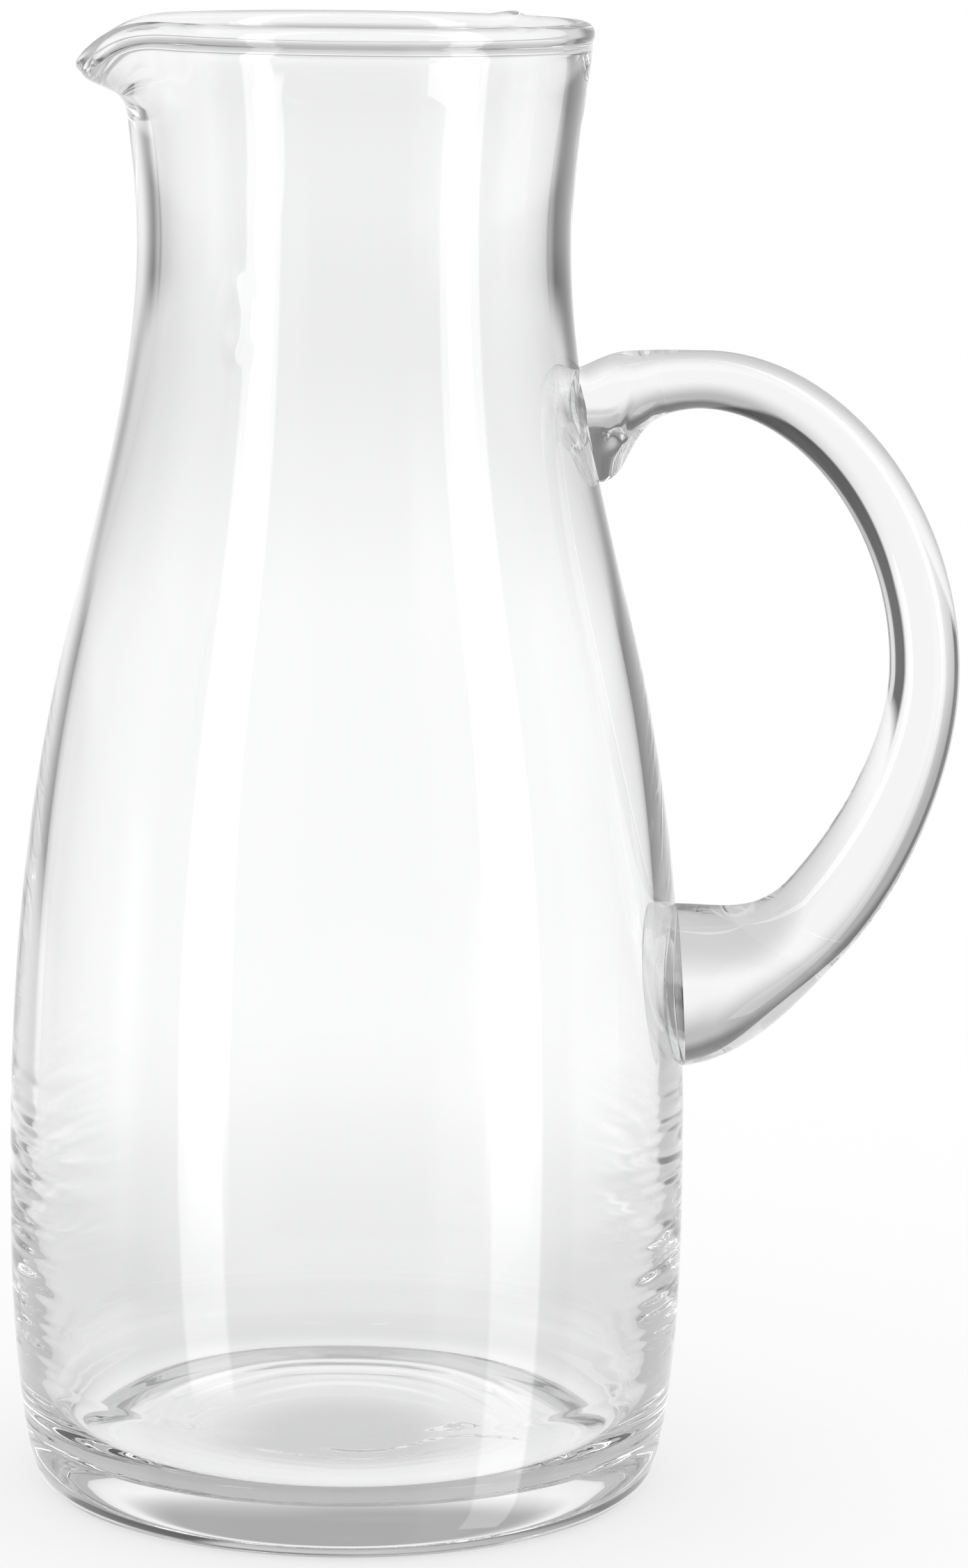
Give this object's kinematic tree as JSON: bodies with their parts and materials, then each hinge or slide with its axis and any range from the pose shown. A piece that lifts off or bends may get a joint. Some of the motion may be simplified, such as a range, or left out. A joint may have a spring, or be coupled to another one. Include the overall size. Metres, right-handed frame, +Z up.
{
  "type": "glass pitcher",
  "caption": "Clear hand-made glass pitcher with a round belly, a narrower flared neck, a pulled pouring lip and an applied rod handle.",
  "frame": {"origin": "middle of the flat foot, on the vessel's axis", "axes": "+Z up along the vessel's axis, +X towards the handle, -X towards the pouring lip, +Y away from the viewer of the picture"},
  "size_m": [0.161, 0.1156, 0.25],
  "materials": {
    "vessel_glass": "clear blown glass, fire polished",
    "handle_glass": "clear solid drawn glass, fire polished"
  },
  "bodies": {
    "root": {"vessel": "vessel_glass", "handle": "handle_glass"}
  },
  "joints": []
}
